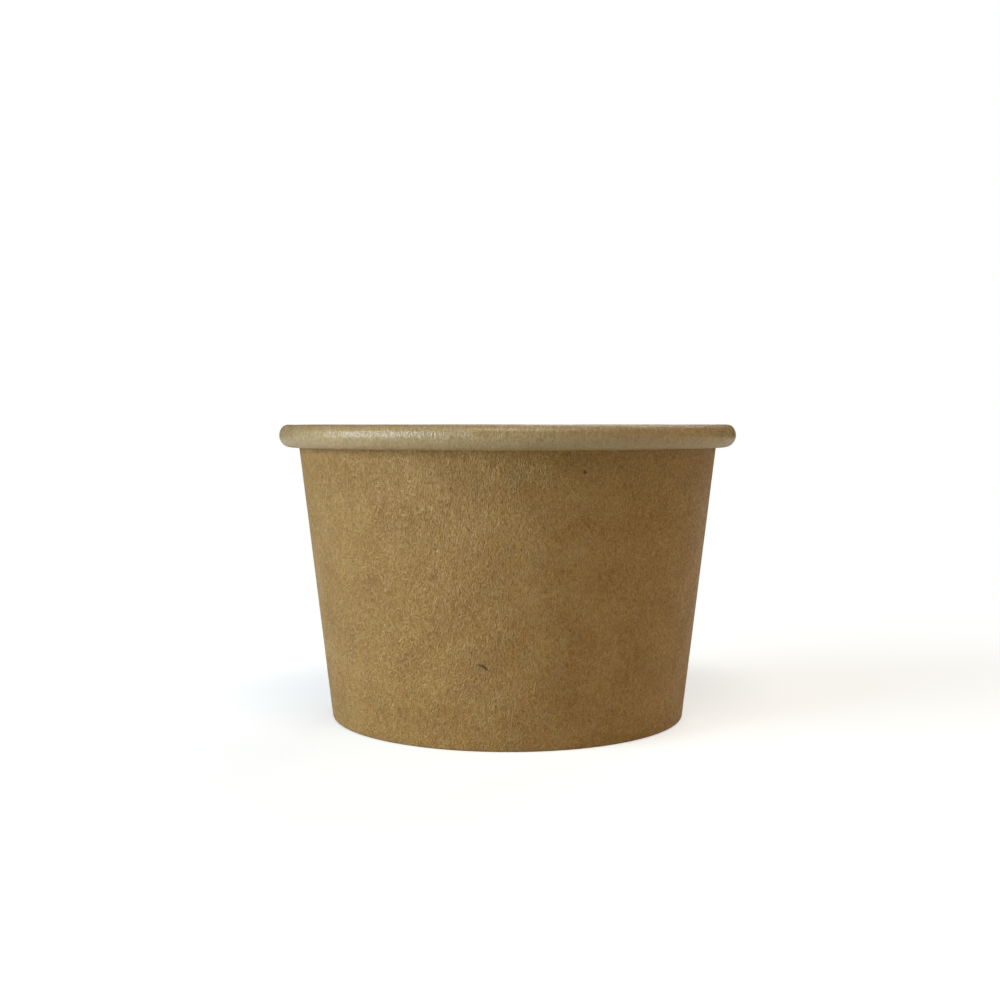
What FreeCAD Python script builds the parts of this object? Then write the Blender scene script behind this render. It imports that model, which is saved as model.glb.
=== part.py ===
# A kraft paper portion pot: a conical board wall with a rolled rim and a folded foot, and a
# separate board base whose flange is clamped in that fold. Millimetres and degrees, +Z up. The
# origin is the middle of the foot on the table, and the lapped seam of the wall faces +Y.

import FreeCAD, Part
import os
from math import acos, cos, radians, sin

import Sketcher
from FreeCAD import Vector

SIZES = {
    "pot_height": 47.5,
    "rim_diameter": 74.0,
    "foot_diameter": 57.4,        # of the cone's outside face, where it would reach the table
    "wall_angle": 6.7,            # how far the wall leans out from upright
    "wall_board": 0.4,
    "base_board": 0.4,
    "rim_depth": 3.6,             # height of the rolled rim
    "rim_upper_radius": 1.2,      # outside radii of the roll: its two upper corners, its lower
    "rim_lower_radius": 1.6,      # outer corner, and its bulged side
    "rim_side_radius": 1.95,
    "rim_side_drop": 1.7,         # below the top, where the roll is widest
    "rim_inner_radius": 0.9,
    "rim_underside_slope": 6.0,
    "rim_end_drop": 1.9,          # below the top, where the board turns off the wall in the roll
    "rim_end_radius": 0.7,
    "rim_end_turn": 70.0,
    "roll_gap": 0.05,             # between the wall and the board inside the roll
    "foot_corner_radius": 0.45,
    "hem_height": 5.0,
    "floor_height": 6.0,          # of the floor's upper face above the table
    "floor_corner_radius": 0.8,
    "flange_drop": 0.5,           # height of the base flange's lower edge above the table
    "lap_width": 7.0,
    "lap_ramp": 1.5,              # the length over which one ply climbs onto the other
    "lap_root": 0.15,             # how deep the lapping ply is rooted in the wall
}

PLY_ACROSS = "sizes.wall_board / cos(sizes.wall_angle)"    # the wall's thickness, level across
ABOVE_FOOT = "sizes.foot_corner_radius"
UNDER_RIM = "sizes.pot_height - sizes.rim_depth + sizes.wall_board"
INTO_RIM = "sizes.pot_height - sizes.rim_upper_radius"

ORIGIN = (-1, 1)                  # how a sketch refers to its origin point and its two axes
ACROSS, UPWARD = -1, -2
START, END, CENTRE = 1, 2, 3      # how it refers to the points of a line or an arc

doc = FreeCAD.newDocument("portion_pot")
sheet = doc.addObject("Spreadsheet::Sheet", "sizes")
for row, (alias, value) in enumerate(SIZES.items(), start=1):
    sheet.set(f"A{row}", alias.replace("_", " "))
    sheet.set(f"B{row}", str(value))
    sheet.setAlias(f"B{row}", alias)
doc.recompute()


def origin_feature(body, role):
    """The plane or axis of a body's own origin that plays the given role."""
    return next(feature for feature in body.Origin.OriginFeatures if feature.Role == role)


def new_body(name):
    body = doc.addObject("PartDesign::Body", name)
    body.Label = name
    return body


def new_sketch(body, name, plane, lift=None):
    """A sketch on one of the body's origin planes, lifted off it by an expression if given."""
    sketch = body.newObject("Sketcher::SketchObject", name)
    sketch.AttachmentSupport = [(origin_feature(body, plane), "")]
    sketch.MapMode = "FlatFace"
    if lift:
        sketch.setExpression("AttachmentOffset.Base.z", lift)
    doc.recompute()
    return sketch


def constrain(sketch, kind, *references):
    return sketch.addConstraint(Sketcher.Constraint(kind, *references))


def dimension(sketch, name, expression, kind, *references):
    """A named dimension, bound to an expression in the sizes."""
    value = float(sketch.evalExpression(expression))
    index = constrain(sketch, kind, *references, radians(value) if kind == "Angle" else value)
    sketch.renameConstraint(index, name)
    sketch.setExpression(f"Constraints.{name}", expression)


def towards(heading):
    return Vector(cos(radians(heading)), sin(radians(heading)), 0)


def draw_chain(sketch, point, heading, steps):
    """Lines and arcs end to end, each tangent to the one before. A step is a line's length, or
    an arc's (radius, turn) with a left turn positive. The lengths are first guesses that the
    sketch's dimensions make exact. Returns each step's (geometry, first point, last point)."""
    chain = []
    for step in steps:
        if isinstance(step, tuple):
            radius, turn = step
            side = 1 if turn > 0 else -1
            centre = point + towards(heading + 90 * side) * radius
            start = heading - 90 * side
            low, high = sorted((start, start + turn))
            circle = Part.Circle(centre, Vector(0, 0, 1), radius)
            curve = Part.ArcOfCircle(circle, radians(low), radians(high))
            first, last = (START, END) if turn > 0 else (END, START)
            point = centre + towards(start + turn) * radius
            heading += turn
        else:
            end = point + towards(heading) * step
            curve = Part.LineSegment(point, end)
            first, last = START, END
            point = end
        geometry = sketch.addGeometry(curve)
        if chain:
            before, _, joint = chain[-1]
            constrain(sketch, "Tangent", before, joint, geometry, first)
        chain.append((geometry, first, last))
    return chain


def board_section(body, name, board_face, thickness):
    """The cut edge of a board: the area between its sketched face and the face behind it."""
    section = body.newObject("PartDesign::SubShapeBinder", name)
    section.Support = [(board_face, "")]
    section.OffsetFill = True
    section.OffsetOpenResult = True
    section.MakeFace = True
    section.OffsetJoinType = "Intersection"
    section.setExpression("Offset", thickness)
    doc.recompute()
    return section


def turn_round(body, name, section):
    turned = body.newObject("PartDesign::Revolution", name)
    turned.Profile = section
    turned.ReferenceAxis = (origin_feature(body, "Z_Axis"), [""])
    turned.Angle = 360
    doc.recompute()
    return turned


def loft_between(body, kind, name, sections):
    loft = body.newObject(kind, name)
    loft.Profile = sections[0]
    loft.Sections = sections[1:]
    loft.Ruled = True
    doc.recompute()
    return loft


def sketch_wall_face(body):
    """The outside face of the wall's board: from the top of the hem down and round the foot, up
    the cone, and round the roll of the rim to the board's end inside it."""
    lean = SIZES["wall_angle"]
    board = SIZES["wall_board"]
    foot_radius = SIZES["foot_corner_radius"]
    upper_radius = SIZES["rim_upper_radius"]
    lower_radius = SIZES["rim_lower_radius"]
    inner_radius = SIZES["rim_inner_radius"]
    slope = SIZES["rim_underside_slope"]
    side_above, side_below = 42, 58
    hem_x = SIZES["foot_diameter"] / 2 - 0.7
    sketch = new_sketch(body, "wall_face", "XZ_Plane")
    chain = draw_chain(sketch, Vector(hem_x, SIZES["hem_height"], 0), -90 - lean, [
        SIZES["hem_height"] - foot_radius,
        (foot_radius, 90 + lean),
        foot_radius,
        (foot_radius, 90 - lean),
        SIZES["pot_height"] - upper_radius,
        (upper_radius - board, lean - 90),
        SIZES["rim_depth"] - upper_radius - lower_radius,
        (upper_radius - board, side_above - 90),
        (SIZES["rim_side_radius"] - board, -side_above - side_below),
        (lower_radius - board, side_below - 90 + slope),
        inner_radius,
        (inner_radius - board, lean - 90 - slope),
        inner_radius,
        (SIZES["rim_end_radius"], -SIZES["rim_end_turn"]),
    ])
    (hem, foot_inside, foot, foot_outside, wall, brim, top, shoulder, side, lower, underside,
     nook, inner_wall, curl) = chain

    constrain(sketch, "PointOnObject", *foot[:2], ACROSS)
    constrain(sketch, "Horizontal", foot[0])
    constrain(sketch, "Horizontal", top[0])
    constrain(sketch, "Parallel", wall[0], hem[0])
    constrain(sketch, "Parallel", wall[0], inner_wall[0])
    cone_foot = sketch.addGeometry(Part.Point(Vector(SIZES["foot_diameter"] / 2, 0, 0)), True)
    constrain(sketch, "PointOnObject", cone_foot, START, ACROSS)
    constrain(sketch, "PointOnObject", cone_foot, START, wall[0])
    dimension(sketch, "cone_foot", "sizes.foot_diameter / 2",
              "DistanceX", *ORIGIN, cone_foot, START)
    dimension(sketch, "lean", "90 - sizes.wall_angle", "Angle", wall[0])
    dimension(sketch, "hem_fold", "2 * sizes.wall_board + sizes.base_board",
              "Distance", *hem[:2], wall[0])
    dimension(sketch, "hem_top", "sizes.hem_height", "DistanceY", *ORIGIN, *hem[:2])

    for name, arc in (("foot_inside", foot_inside), ("foot_outside", foot_outside)):
        dimension(sketch, name, "sizes.foot_corner_radius", "Radius", arc[0])
    for name, arc in (("brim", brim), ("shoulder", shoulder)):
        dimension(sketch, name, "sizes.rim_upper_radius - sizes.wall_board", "Radius", arc[0])
    dimension(sketch, "lower", "sizes.rim_lower_radius - sizes.wall_board", "Radius", lower[0])
    dimension(sketch, "side", "sizes.rim_side_radius - sizes.wall_board", "Radius", side[0])
    dimension(sketch, "nook", "sizes.rim_inner_radius - sizes.wall_board", "Radius", nook[0])
    dimension(sketch, "curl", "sizes.rim_end_radius", "Radius", curl[0])
    dimension(sketch, "curl_turn", "sizes.rim_end_turn", "Angle", curl[0])

    dimension(sketch, "top_up", "sizes.pot_height - sizes.wall_board",
              "DistanceY", *ORIGIN, *top[:2])
    dimension(sketch, "side_out", "sizes.rim_diameter / 2 - sizes.rim_side_radius",
              "DistanceX", *ORIGIN, side[0], CENTRE)
    dimension(sketch, "side_up", "sizes.pot_height - sizes.rim_side_drop",
              "DistanceY", *ORIGIN, side[0], CENTRE)
    dimension(sketch, "lower_up", "sizes.pot_height - sizes.rim_depth + sizes.rim_lower_radius",
              "DistanceY", *ORIGIN, lower[0], CENTRE)
    dimension(sketch, "underside", "180 + sizes.rim_underside_slope", "Angle", underside[0])
    dimension(sketch, "roll_gap", "sizes.wall_board + sizes.roll_gap",
              "Distance", *inner_wall[:2], wall[0])
    dimension(sketch, "inner_wall_end", "sizes.pot_height - sizes.rim_end_drop",
              "DistanceY", *ORIGIN, inner_wall[0], inner_wall[2])
    doc.recompute()
    return sketch


def sketch_base_face(body):
    """The upper face of the base's board, from the middle of the floor out to its turned-down
    flange, which lies against the inside of the wall."""
    corner_radius = SIZES["floor_corner_radius"]
    sketch = new_sketch(body, "base_face", "XZ_Plane")
    floor, corner, flange = draw_chain(sketch, Vector(0, SIZES["floor_height"], 0), 0, [
        SIZES["foot_diameter"] / 2 - corner_radius,
        (corner_radius, -90 - SIZES["wall_angle"]),
        SIZES["floor_height"] - corner_radius - SIZES["flange_drop"],
    ])
    constrain(sketch, "Horizontal", floor[0])
    constrain(sketch, "PointOnObject", *floor[:2], UPWARD)
    dimension(sketch, "floor_up", "sizes.floor_height", "DistanceY", *ORIGIN, *floor[:2])
    dimension(sketch, "corner", "sizes.floor_corner_radius", "Radius", corner[0])
    dimension(sketch, "lean", "270 - sizes.wall_angle", "Angle", flange[0])
    dimension(sketch, "flange_end", "sizes.flange_drop",
              "DistanceY", *ORIGIN, flange[0], flange[2])
    dimension(sketch, "flange_out",
              f"sizes.foot_diameter / 2 + sizes.flange_drop * tan(sizes.wall_angle) - {PLY_ACROSS}",
              "DistanceX", *ORIGIN, flange[0], flange[2])
    doc.recompute()
    return sketch


def on_circle(radius, x):
    return Vector(x, (radius ** 2 - x ** 2) ** 0.5, 0)


def sketch_lap(body, name, height):
    """The lapping ply in plan at a height on the wall. Its left end is the cut edge, and its
    right end slopes down to where it climbs over the ply below."""
    face = f"(sizes.foot_diameter / 2 + ({height}) * tan(sizes.wall_angle))"
    sketch = new_sketch(body, name, "XY_Plane", lift=height)
    outer_radius = float(sketch.evalExpression(f"{face} + {PLY_ACROSS}"))
    inner_radius = float(sketch.evalExpression(f"{face} - sizes.lap_root"))
    half_lap = SIZES["lap_width"] / 2
    root_x = half_lap + SIZES["lap_ramp"]

    def arc(radius, *ends):
        circle = Part.Circle(Vector(), Vector(0, 0, 1), radius)
        angles = [acos(x / radius) for x in ends]
        return sketch.addGeometry(Part.ArcOfCircle(circle, *angles))

    def line(x_outside, x_inside):
        ends = on_circle(outer_radius, x_outside), on_circle(inner_radius, x_inside)
        return sketch.addGeometry(Part.LineSegment(*ends))

    outside = arc(outer_radius, half_lap, -half_lap)
    inside = arc(inner_radius, root_x, -half_lap)
    cut_edge = line(-half_lap, -half_lap)
    climb = line(half_lap, root_x)
    for face_arc, line_end in ((outside, START), (inside, END)):
        constrain(sketch, "Coincident", face_arc, CENTRE, *ORIGIN)
        constrain(sketch, "Coincident", face_arc, START, climb, line_end)
        constrain(sketch, "Coincident", face_arc, END, cut_edge, line_end)
    constrain(sketch, "Vertical", cut_edge)
    dimension(sketch, "outside", f"{face} + {PLY_ACROSS}", "Radius", outside)
    dimension(sketch, "inside", f"{face} - sizes.lap_root", "Radius", inside)
    dimension(sketch, "cut_edge", "sizes.lap_width / 2", "DistanceX", cut_edge, START, *ORIGIN)
    dimension(sketch, "climb_top", "sizes.lap_width / 2", "DistanceX", *ORIGIN, climb, START)
    dimension(sketch, "climb", "sizes.lap_ramp * (1 + sizes.lap_root / sizes.wall_board)",
              "DistanceX", climb, START, climb, END)
    doc.recompute()
    return sketch


def sketch_step(body, name, height):
    """The step inside the pot in plan at a height: a narrow triangle between the covered ply's
    cut edge and the slope of the ply that climbs over it."""
    bore = f"(sizes.foot_diameter / 2 + ({height}) * tan(sizes.wall_angle) - {PLY_ACROSS})"
    corners = {
        "edge_front": ("sizes.lap_width / 2", bore),
        "edge_back": ("sizes.lap_width / 2", f"{bore} + {PLY_ACROSS}"),
        "slope_end": ("sizes.lap_width / 2 + sizes.lap_ramp", bore),
    }
    sketch = new_sketch(body, name, "XY_Plane", lift=height)
    points = [on_circle(float(sketch.evalExpression(away)), float(sketch.evalExpression(across)))
              for across, away in corners.values()]
    lines = [sketch.addGeometry(Part.LineSegment(start, end))
             for start, end in zip(points, points[1:] + points[:1])]
    for line, following in zip(lines, lines[1:] + lines[:1]):
        constrain(sketch, "Coincident", line, END, following, START)
    for line, (corner, (across, away)) in zip(lines, corners.items()):
        dimension(sketch, f"{corner}_across", across, "DistanceX", *ORIGIN, line, START)
        dimension(sketch, f"{corner}_away", away, "Distance", *ORIGIN, line, START)
    doc.recompute()
    return sketch


def make_side_wall():
    body = new_body("side_wall")
    section = board_section(body, "wall_section", sketch_wall_face(body), "sizes.wall_board")
    ring = turn_round(body, "wall_turn", section)
    lap = loft_between(body, "PartDesign::AdditiveLoft", "seam_lap", [
        sketch_lap(body, "lap_at_foot", ABOVE_FOOT),
        sketch_lap(body, "lap_under_rim", UNDER_RIM),
    ])
    step = loft_between(body, "PartDesign::SubtractiveLoft", "seam_step", [
        sketch_step(body, "step_at_foot", ABOVE_FOOT),
        sketch_step(body, "step_in_rim", INTO_RIM),
    ])
    if not ring.Shape.Volume < step.Shape.Volume < lap.Shape.Volume:
        raise RuntimeError("the seam's lap or its step is missing from the wall")
    return body


def make_base_disc():
    body = new_body("base_disc")
    section = board_section(body, "base_section", sketch_base_face(body), "-sizes.base_board")
    turn_round(body, "base_turn", section)
    return body


bodies = [make_side_wall(), make_base_disc()]
doc.recompute()
for feature in doc.Objects:
    if {"Invalid", "Error"} & set(feature.State):
        raise RuntimeError(f"{feature.Name} failed: {feature.State}")
os.makedirs("parts", exist_ok=True)
for body in bodies:
    if body.Shape.isNull() or not body.Shape.isValid() or len(body.Shape.Solids) != 1:
        raise RuntimeError(f"{body.Label} isn't one valid solid")
    body.Shape.exportStep(f"parts/{body.Label}.step")
    print(f"{body.Label}: {body.Shape.Volume:.0f} cubic millimetres of board")
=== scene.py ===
from math import atan2, cos, pi, radians, sin, sqrt, tan

import bpy
from bpy.props import FloatProperty, FloatVectorProperty, IntProperty, PointerProperty
from bpy.types import Operator, Panel, PropertyGroup
from mathutils import Matrix, Vector


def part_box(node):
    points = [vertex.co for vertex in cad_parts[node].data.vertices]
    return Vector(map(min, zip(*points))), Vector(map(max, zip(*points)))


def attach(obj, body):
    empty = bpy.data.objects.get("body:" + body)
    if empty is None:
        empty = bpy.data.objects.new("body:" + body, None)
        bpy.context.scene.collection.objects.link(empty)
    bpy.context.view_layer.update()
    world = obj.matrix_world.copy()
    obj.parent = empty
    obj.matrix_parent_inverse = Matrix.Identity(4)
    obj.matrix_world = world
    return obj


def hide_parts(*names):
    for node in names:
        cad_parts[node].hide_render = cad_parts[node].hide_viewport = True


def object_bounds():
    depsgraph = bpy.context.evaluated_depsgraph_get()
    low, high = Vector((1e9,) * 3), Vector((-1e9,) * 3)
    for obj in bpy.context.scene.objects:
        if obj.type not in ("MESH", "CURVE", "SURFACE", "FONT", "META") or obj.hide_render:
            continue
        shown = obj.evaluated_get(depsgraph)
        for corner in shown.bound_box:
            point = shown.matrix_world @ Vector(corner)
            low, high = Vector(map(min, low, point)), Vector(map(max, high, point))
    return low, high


bl_info = {
    "name": "Kraft Portion Pot",
    "version": (1, 0, 0),
    "blender": (4, 5, 0),
    "location": "3D View > Sidebar > Pot",
    "description": "Wraps a portion pot from its two kraft board blanks, and lights it",
    "category": "Object",
}

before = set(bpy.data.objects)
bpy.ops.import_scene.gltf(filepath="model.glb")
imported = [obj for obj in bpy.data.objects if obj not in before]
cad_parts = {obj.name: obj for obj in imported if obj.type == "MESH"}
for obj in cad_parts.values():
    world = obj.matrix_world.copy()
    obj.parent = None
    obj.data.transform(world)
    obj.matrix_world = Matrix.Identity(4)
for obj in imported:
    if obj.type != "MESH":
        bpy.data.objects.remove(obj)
cad_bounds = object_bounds()
cad_top = cad_bounds[1]
floor_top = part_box("base_disc")[1].z

MM = 0.001
BODY = "root"
BLANK = "blank"        # attribute: where a point of the board lay in its flat blank, in metres
FACING = "facing"      # attribute: 1 on the lined face, -1 on the kraft face, 0 on a cut edge


# ---- settings -------------------------------------------------------------------------------

def metres(name, description, default):
    return FloatProperty(name=name, description=description, default=default, min=0,
                         subtype="DISTANCE", unit="LENGTH", precision=5)


def millimetres(name, description, default):
    return metres(name, description, default * MM)


def angle(name, description, degrees):
    return FloatProperty(name=name, description=description, default=radians(degrees),
                         subtype="ANGLE", unit="ROTATION")


def power(name, description, default):
    return FloatProperty(name=name, description=description, default=default, min=0,
                         unit="POWER")


def tint(name, description, *default):
    return FloatVectorProperty(name=name, description=description, default=default,
                               min=0, max=1, size=3, subtype="COLOR")


class PotSizes(PropertyGroup):
    """Sizes of the two blanks, and of how they are folded and rolled"""

    height: metres("Height", "From the table to the top of the rim", cad_top.z)
    rim_radius: metres("Rim Radius", "Radius of the rolled rim", cad_top.x)
    floor: metres("Floor", "Height of the pot's floor above the table", floor_top)
    board: millimetres("Board", "Thickness of the kraft board", 0.4)
    lean: angle("Wall Lean", "How far the wall leans out from upright", 6.7)
    foot_radius: millimetres("Foot Radius", "Radius of the cone's outside at the table", 28.7)
    foot_corner: millimetres("Foot Corner", "Outside radius of the folded foot's edges", 0.45)
    hem: millimetres("Hem", "Height of the wall's edge folded up inside the foot", 5)
    rim_depth: millimetres("Rim Depth", "Height of the rolled rim", 3.6)
    rim_upper: millimetres("Rim Upper", "Outside radius of the roll's two upper corners", 1.2)
    rim_lower: millimetres("Rim Lower", "Outside radius of the roll's lower corner", 1.6)
    rim_side: millimetres("Rim Side", "Radius of the roll's bulged side", 1.95)
    rim_side_drop: millimetres("Rim Side Drop", "Depth at which the roll is widest", 1.7)
    rim_nook: millimetres("Rim Nook", "Radius of the roll's bend beside the wall", 0.9)
    rim_slope: angle("Rim Slope", "Slope of the roll's underside down to the wall", 6)
    roll_gap: millimetres("Roll Gap", "Space between the wall and the board in the roll", 0.05)
    end_drop: millimetres("End Drop", "Depth at which the board leaves the wall again", 1.9)
    end_radius: millimetres("End Radius", "Radius of the board's last bend in the roll", 0.7)
    end_turn: angle("End Turn", "Angle of the board's last bend in the roll", 70)
    lap_width: millimetres("Lap Width", "Width of the wall's lapped seam", 7)
    lap_ramp: millimetres("Lap Ramp", "Length over which a ply climbs onto the other", 1.5)
    floor_corner: millimetres("Floor Corner", "Outside radius of the floor's edge", 0.8)
    flange_drop: millimetres("Flange Drop", "Height of the flange's edge above the table", 0.5)
    waviness: millimetres("Waviness", "How far the board strays from its true shape", 0.06)
    steps_round: IntProperty(name="Steps Round", description="Number of faces round the pot",
                             default=420, min=60)


class BoardColours(PropertyGroup):
    """Colours of the kraft board and of the marks in it"""

    kraft: tint("Kraft", "The board's outside face", 0.304, 0.163, 0.025)
    lining: tint("Lining", "The board's lined face", 0.352, 0.260, 0.134)
    cut_edge: tint("Cut Edge", "The fibres bared at a cut edge", 0.420, 0.310, 0.170)
    shive: tint("Shive", "Dark splinters of wood in the board", 0.110, 0.038, 0.001)


class StageSettings(PropertyGroup):
    """The camera and the lamps"""

    distance: millimetres("Camera Distance", "From the camera to the pot's axis", 222.6)
    eye_height: millimetres("Eye Height", "Height of the camera above the table", 47.3)
    look_down: angle("Look Down", "How far below level the camera looks", 3.135)
    look_aside: angle("Look Aside", "How far to its right the camera looks", -0.315)
    tilt: angle("Tilt", "How far the camera is tilted clockwise", -0.02)
    lens: FloatProperty(name="Lens", description="Focal length", default=48.72, min=1,
                        unit="CAMERA")
    window: power("Window", "Power of the large lamp at the left", 10.5)
    overhead: power("Overhead", "Power of the lamp above", 3.7)
    fill: power("Fill", "Power of the lamp at the right", 2.35)
    back: power("Back", "Power of the lamp behind", 2.2)
    ambient: FloatProperty(name="Ambient", description="Strength of the light from all round",
                           default=0.02, min=0)


# ---- nodes ----------------------------------------------------------------------------------

class Wiring:
    """Adds nodes to a tree and wires each one up in the same call. Any value may be a socket."""

    def __init__(self, tree):
        self.tree = tree

    def node(self, kind, inputs=None, **settings):
        node = self.tree.nodes.new(kind)
        for name, value in settings.items():
            setattr(node, name, value)
        for key, value in (inputs or {}).items():
            socket = node.inputs[key]
            if isinstance(value, bpy.types.NodeSocket):
                self.tree.links.new(value, socket)
            elif socket.type == "RGBA":
                socket.default_value = (*value[:3], 1)
            else:
                socket.default_value = value
        return node

    def group(self, tree, **inputs):
        node = self.tree.nodes.new(self.tree.bl_idname.replace("Tree", "Group"))
        node.node_tree = tree
        for name, value in inputs.items():
            socket = node.inputs[name.replace("_", " ").title()]
            if isinstance(value, bpy.types.NodeSocket):
                self.tree.links.new(value, socket)
            else:
                socket.default_value = value
        return node.outputs

    def math(self, operation, *values):
        return self.node("ShaderNodeMath", dict(enumerate(values)), operation=operation).outputs[0]

    def add(self, *values):
        total = values[0]
        for value in values[1:]:
            total = self.math("ADD", total, value)
        return total

    def less(self, whole, part):
        return self.math("SUBTRACT", whole, part)

    def times(self, *values):
        product = values[0]
        for value in values[1:]:
            product = self.math("MULTIPLY", product, value)
        return product

    def ramp(self, value, low, high, to_low=0.0, to_high=1.0):
        """A smooth step: to_low where the value is at low or past it, to_high at high."""
        return self.node("ShaderNodeMapRange",
                         {0: value, 1: low, 2: high, 3: to_low, 4: to_high},
                         interpolation_type="SMOOTHSTEP").outputs[0]

    def mix(self, share, first, second):
        return self.node("ShaderNodeMix", {0: share, 2: first, 3: second},
                         data_type="FLOAT").outputs[0]

    def mix_colour(self, share, first, second):
        return self.node("ShaderNodeMix", {0: share, 6: first, 7: second},
                         data_type="RGBA").outputs[2]

    def vector(self, operation, *values):
        return self.node("ShaderNodeVectorMath", dict(enumerate(values)),
                         operation=operation).outputs[0]

    def scaled(self, vector, factor):
        return self.node("ShaderNodeVectorMath", {0: vector, 3: factor},
                         operation="SCALE").outputs[0]

    def joined(self, x=0.0, y=0.0, z=0.0):
        return self.node("ShaderNodeCombineXYZ", {0: x, 1: y, 2: z}).outputs[0]

    def parts(self, vector):
        return self.node("ShaderNodeSeparateXYZ", {0: vector}).outputs

    def noise(self, place, size, detail=2.0, roughness=0.5, kind=0):
        """Noise from 0 to 1 with features of about the size given, as (across, along) where
        they are stretched along the grain. Kind 1 gives three noises as a colour."""
        across, along = size if isinstance(size, tuple) else (size, size)
        place = self.vector("MULTIPLY", place, (1 / across, 1 / along, 1 / across))
        return self.node("ShaderNodeTexNoise",
                         {"Vector": place, "Scale": 1.0, "Detail": detail,
                          "Roughness": roughness}).outputs[kind]


def new_group(name, kind, inputs, outputs):
    """A node group with named sockets. Returns its wiring, and its inputs by name."""
    tree = bpy.data.node_groups.new(name, kind)
    for socket_name, socket_kind in outputs.items():
        tree.interface.new_socket(socket_name, in_out="OUTPUT", socket_type=socket_kind)
    for socket_name, socket_kind in inputs.items():
        tree.interface.new_socket(socket_name, in_out="INPUT", socket_type=socket_kind)
    sockets = tree.nodes.new("NodeGroupInput").outputs
    return Wiring(tree), {socket_name: sockets[socket_name] for socket_name in inputs}


# ---- the section of a board -----------------------------------------------------------------
# A section is the line of the board's kraft face in the plane of the pot's axis: x outwards and
# y up. It is followed with the lined face on its left. Headings are measured from x towards y.

def left_of(heading):
    return Vector((-sin(heading), cos(heading)))


def towards(heading):
    return Vector((cos(heading), sin(heading)))


def beside_wall(sizes, height, outward):
    """The point at a height that lies a distance outward from the wall's outside face."""
    return Vector((sizes.foot_radius + height * tan(sizes.lean) + outward / cos(sizes.lean),
                   height))


def follow(bends, spacing):
    """Points of a section that is straight between its bends. A bend is (centre, radius, first
    heading, last heading), its radius negative where the section bends to the right. Returns
    (point, heading, distance along, number of bends passed) for each point, the bend that a
    point lies on counting as half passed."""
    step_turn = radians(13)
    points = []
    for passed, (centre, radius, first, last) in enumerate(bends):
        entry = centre - left_of(first) * radius
        if points:
            start = points[-1][0]
            count = max(1, round((entry - start).length / spacing))
            points += [(start.lerp(entry, step / count), first, passed)
                       for step in range(1, count)]
        steps = round(abs(last - first) / step_turn)
        headings = [first + (last - first) * step / max(1, steps) for step in range(steps + 1)]
        points += [(centre - left_of(heading) * radius, heading, passed + 0.5)
                   for heading in headings]
    placed = []
    along = 0
    for index, (point, heading, passed) in enumerate(points):
        along += (point - points[max(0, index - 1)][0]).length
        placed.append((point, heading, along, passed))
    return placed


# Places in the wall section's list of bends.
FOOT_BENDS = (1, 2)
ROLL_END_BEND = 7


def wall_section(sizes):
    """From the top of the hem down, round the foot, up the wall, and round the rolled rim."""
    board = sizes.board
    up_wall = pi / 2 - sizes.lean
    down_hem = up_wall - pi
    hem_face = -3 * board                       # inside the wall and the base's flange
    foot = sizes.foot_corner
    foot_inside = beside_wall(sizes, foot, hem_face + foot)
    foot_outside = beside_wall(sizes, foot, -foot)

    upper, lower = sizes.rim_upper - board, sizes.rim_lower - board
    brim = beside_wall(sizes, sizes.height - sizes.rim_upper, upper)
    side = Vector((sizes.rim_radius - sizes.rim_side, sizes.height - sizes.rim_side_drop))

    def corner_of_side(radius, rise):
        """Centre of a corner that runs smoothly into the side, and how far round they meet."""
        reach = sqrt((sizes.rim_side - radius) ** 2 - rise ** 2)
        return side + Vector((reach, rise)), atan2(rise, reach)

    shoulder, side_above = corner_of_side(sizes.rim_upper, sizes.rim_side_drop - sizes.rim_upper)
    bulge, side_below = corner_of_side(sizes.rim_lower, sizes.rim_lower + sizes.rim_side_drop
                                       - sizes.rim_depth)

    underside = sizes.rim_slope - pi
    nook_radius = sizes.rim_nook - board
    inner_face = board + sizes.roll_gap         # the kraft face of the board's end in the roll
    nook = bulge + left_of(underside) * (sizes.rim_lower - sizes.rim_nook)
    # the nook slides along the underside until its bend just clears the wall
    to_wall = nook.x - beside_wall(sizes, nook.y, inner_face + nook_radius).x
    nook += towards(underside) * to_wall / (tan(sizes.lean) * sin(underside) - cos(underside))

    up_inside = up_wall - 2 * pi
    end = beside_wall(sizes, sizes.height - sizes.end_drop, inner_face)
    end += left_of(up_inside) * -sizes.end_radius
    return follow([
        (beside_wall(sizes, sizes.hem, hem_face), 0, down_hem, down_hem),
        (foot_inside, foot, down_hem, 0),
        (foot_outside, foot, 0, up_wall),
        (brim, -upper, up_wall, 0),
        (shoulder, -upper, 0, side_above - pi / 2),
        (side, board - sizes.rim_side, side_above - pi / 2, side_below - pi / 2),
        (bulge, -lower, side_below - pi / 2, underside),
        (nook, -nook_radius, underside, up_inside),
        (end, -sizes.end_radius, up_inside, up_inside - sizes.end_turn),
    ], spacing=2 * MM)


def base_section(sizes):
    """From the middle of the floor out, round its corner, and down the flange."""
    board = sizes.board
    down = -pi / 2 - sizes.lean
    corner_radius = sizes.floor_corner - board
    corner = beside_wall(sizes, sizes.floor - sizes.floor_corner, -2 * board - corner_radius)
    flange_end = beside_wall(sizes, sizes.flange_drop, -board) - left_of(down) * board
    return follow([
        (Vector((0, sizes.floor - board)), 0, 0, 0),
        (corner, -corner_radius, 0, down),
        (flange_end, 0, down, down),
    ], spacing=1.5 * MM)


# ---- boards ---------------------------------------------------------------------------------

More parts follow.
